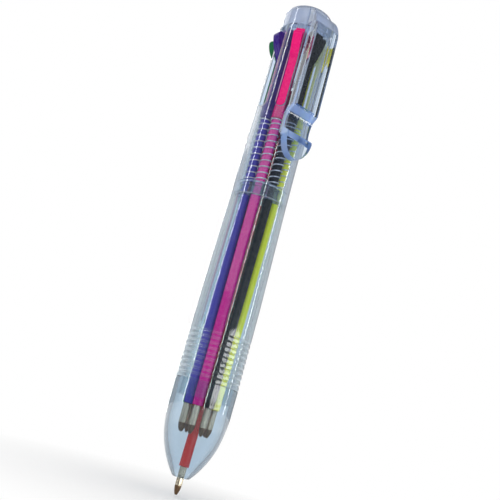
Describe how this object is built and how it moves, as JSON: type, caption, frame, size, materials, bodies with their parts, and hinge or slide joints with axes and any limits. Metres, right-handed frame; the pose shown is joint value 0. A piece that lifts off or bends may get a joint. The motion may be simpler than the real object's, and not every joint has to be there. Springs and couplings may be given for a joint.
{
  "type": "multi-colour slide pen",
  "caption": "Clear slide-button pen: slotted barrel with clip, spring-returned colour sliders on refills, ribbed grip and frosted nose; one point extended.",
  "frame": {"origin": "on the pen's axis at the end of the extended writing ball", "axes": "+Z along the pen towards the cap; -Y towards the clip"},
  "size_m": [0.0186, 0.0208, 0.1366],
  "materials": {
    "clear_plastic": "gloss",
    "frosted_plastic": "matte",
    "spring_steel": "satin",
    "point_metal": "satin",
    "black_plastic": "gloss",
    "yellow_plastic": "gloss",
    "blue_plastic": "gloss",
    "red_plastic": "gloss",
    "orange_plastic": "gloss",
    "green_plastic": "gloss",
    "purple_plastic": "gloss",
    "pink_plastic": "gloss"
  },
  "bodies": {
    "barrel": {"upper_barrel": "clear_plastic", "clip_cap": "clear_plastic", "lower_barrel": "clear_plastic", "nose_cone": "frosted_plastic", "refill_guide": "clear_plastic", "black_spring": "spring_steel", "yellow_spring": "spring_steel", "blue_spring": "spring_steel", "red_spring": "spring_steel", "orange_spring": "spring_steel", "green_spring": "spring_steel", "purple_spring": "spring_steel", "pink_spring": "spring_steel"},
    "pink_slider": {"pink_slider": "pink_plastic"},
    "pink_refill": {"pink_refill_tube": "pink_plastic", "pink_point": "point_metal", "pink_ball": "point_metal"},
    "black_slider": {"black_slider": "black_plastic"},
    "black_refill": {"black_refill_tube": "black_plastic", "black_point": "point_metal", "black_ball": "point_metal"},
    "yellow_slider": {"yellow_slider": "yellow_plastic"},
    "yellow_refill": {"yellow_refill_tube": "yellow_plastic", "yellow_point": "point_metal", "yellow_ball": "point_metal"},
    "blue_slider": {"blue_slider": "blue_plastic"},
    "blue_refill": {"blue_refill_tube": "blue_plastic", "blue_point": "point_metal", "blue_ball": "point_metal"},
    "red_slider": {"red_slider": "red_plastic"},
    "red_refill": {"red_refill_tube": "red_plastic", "red_point": "point_metal", "red_ball": "point_metal"},
    "orange_slider": {"orange_slider": "orange_plastic"},
    "orange_refill": {"orange_refill_tube": "orange_plastic", "orange_point": "point_metal", "orange_ball": "point_metal"},
    "green_slider": {"green_slider": "green_plastic"},
    "green_refill": {"green_refill_tube": "green_plastic", "green_point": "point_metal", "green_ball": "point_metal"},
    "purple_slider": {"purple_slider": "purple_plastic"},
    "purple_refill": {"purple_refill_tube": "purple_plastic", "purple_point": "point_metal", "purple_ball": "point_metal"}
  },
  "joints": [
    {"name": "pink_slide", "type": "slide", "parent": "barrel", "child": "pink_slider", "axis": [0, 0, 1], "range_m": [-0.0148, 0], "deforming": ["pink_spring"]},
    {"name": "pink_lean", "type": "hinge", "parent": "pink_slider", "child": "pink_refill", "pos_m": [-0.00325, -0.00325, 0.1003], "axis": [0.7071, -0.7071, 0], "range_deg": [0, 2.54]},
    {"name": "black_slide", "type": "slide", "parent": "barrel", "child": "black_slider", "axis": [0, 0, 1], "range_m": [-0.0064, 0], "deforming": ["black_spring"]},
    {"name": "black_lean", "type": "hinge", "parent": "black_slider", "child": "black_refill", "pos_m": [0, -0.0046, 0.1003], "axis": [1, 0, 0], "range_deg": [0, 0.2355]},
    {"name": "yellow_slide", "type": "slide", "parent": "barrel", "child": "yellow_slider", "axis": [0, 0, 1], "range_m": [-0.0064, 0], "deforming": ["yellow_spring"]},
    {"name": "yellow_lean", "type": "hinge", "parent": "yellow_slider", "child": "yellow_refill", "pos_m": [0.00325, -0.00325, 0.1003], "axis": [0.7071, 0.7071, 0], "range_deg": [0, 0.2355]},
    {"name": "blue_slide", "type": "slide", "parent": "barrel", "child": "blue_slider", "axis": [0, 0, 1], "range_m": [-0.0064, 0], "deforming": ["blue_spring"]},
    {"name": "blue_lean", "type": "hinge", "parent": "blue_slider", "child": "blue_refill", "pos_m": [0.0046, 0, 0.1003], "axis": [0, 1, 0], "range_deg": [0, 0.2355]},
    {"name": "red_slide", "type": "slide", "parent": "barrel", "child": "red_slider", "axis": [0, 0, 1], "range_m": [0, 0.0148], "deforming": ["red_spring"]},
    {"name": "red_lean", "type": "hinge", "parent": "red_slider", "child": "red_refill", "pos_m": [0.00325, 0.00325, 0.0855], "axis": [-0.7071, 0.7071, 0], "range_deg": [-2.54, 0]},
    {"name": "orange_slide", "type": "slide", "parent": "barrel", "child": "orange_slider", "axis": [0, 0, 1], "range_m": [-0.0064, 0], "deforming": ["orange_spring"]},
    {"name": "orange_lean", "type": "hinge", "parent": "orange_slider", "child": "orange_refill", "pos_m": [0, 0.0046, 0.1003], "axis": [-1, 0, 0], "range_deg": [0, 0.2355]},
    {"name": "green_slide", "type": "slide", "parent": "barrel", "child": "green_slider", "axis": [0, 0, 1], "range_m": [-0.0064, 0], "deforming": ["green_spring"]},
    {"name": "green_lean", "type": "hinge", "parent": "green_slider", "child": "green_refill", "pos_m": [-0.00325, 0.00325, 0.1003], "axis": [-0.7071, -0.7071, 0], "range_deg": [0, 0.2355]},
    {"name": "purple_slide", "type": "slide", "parent": "barrel", "child": "purple_slider", "axis": [0, 0, 1], "range_m": [-0.0064, 0], "deforming": ["purple_spring"]},
    {"name": "purple_lean", "type": "hinge", "parent": "purple_slider", "child": "purple_refill", "pos_m": [-0.0046, 0, 0.1003], "axis": [0, -1, 0], "range_deg": [0, 0.2355]}
  ],
  "couplings": [
    {"joint": "red_slide", "follows": "pink_slide", "ratio": -1},
    {"joint": "pink_lean", "follows": "pink_slide", "rad_per_m": -2.9995},
    {"joint": "black_lean", "follows": "black_slide", "rad_per_m": -0.64223},
    {"joint": "yellow_lean", "follows": "yellow_slide", "rad_per_m": -0.64223},
    {"joint": "blue_lean", "follows": "blue_slide", "rad_per_m": -0.64223},
    {"joint": "red_lean", "follows": "pink_slide", "rad_per_m": 2.9995},
    {"joint": "orange_lean", "follows": "orange_slide", "rad_per_m": -0.64223},
    {"joint": "green_lean", "follows": "green_slide", "rad_per_m": -0.64223},
    {"joint": "purple_lean", "follows": "purple_slide", "rad_per_m": -0.64223}
  ]
}
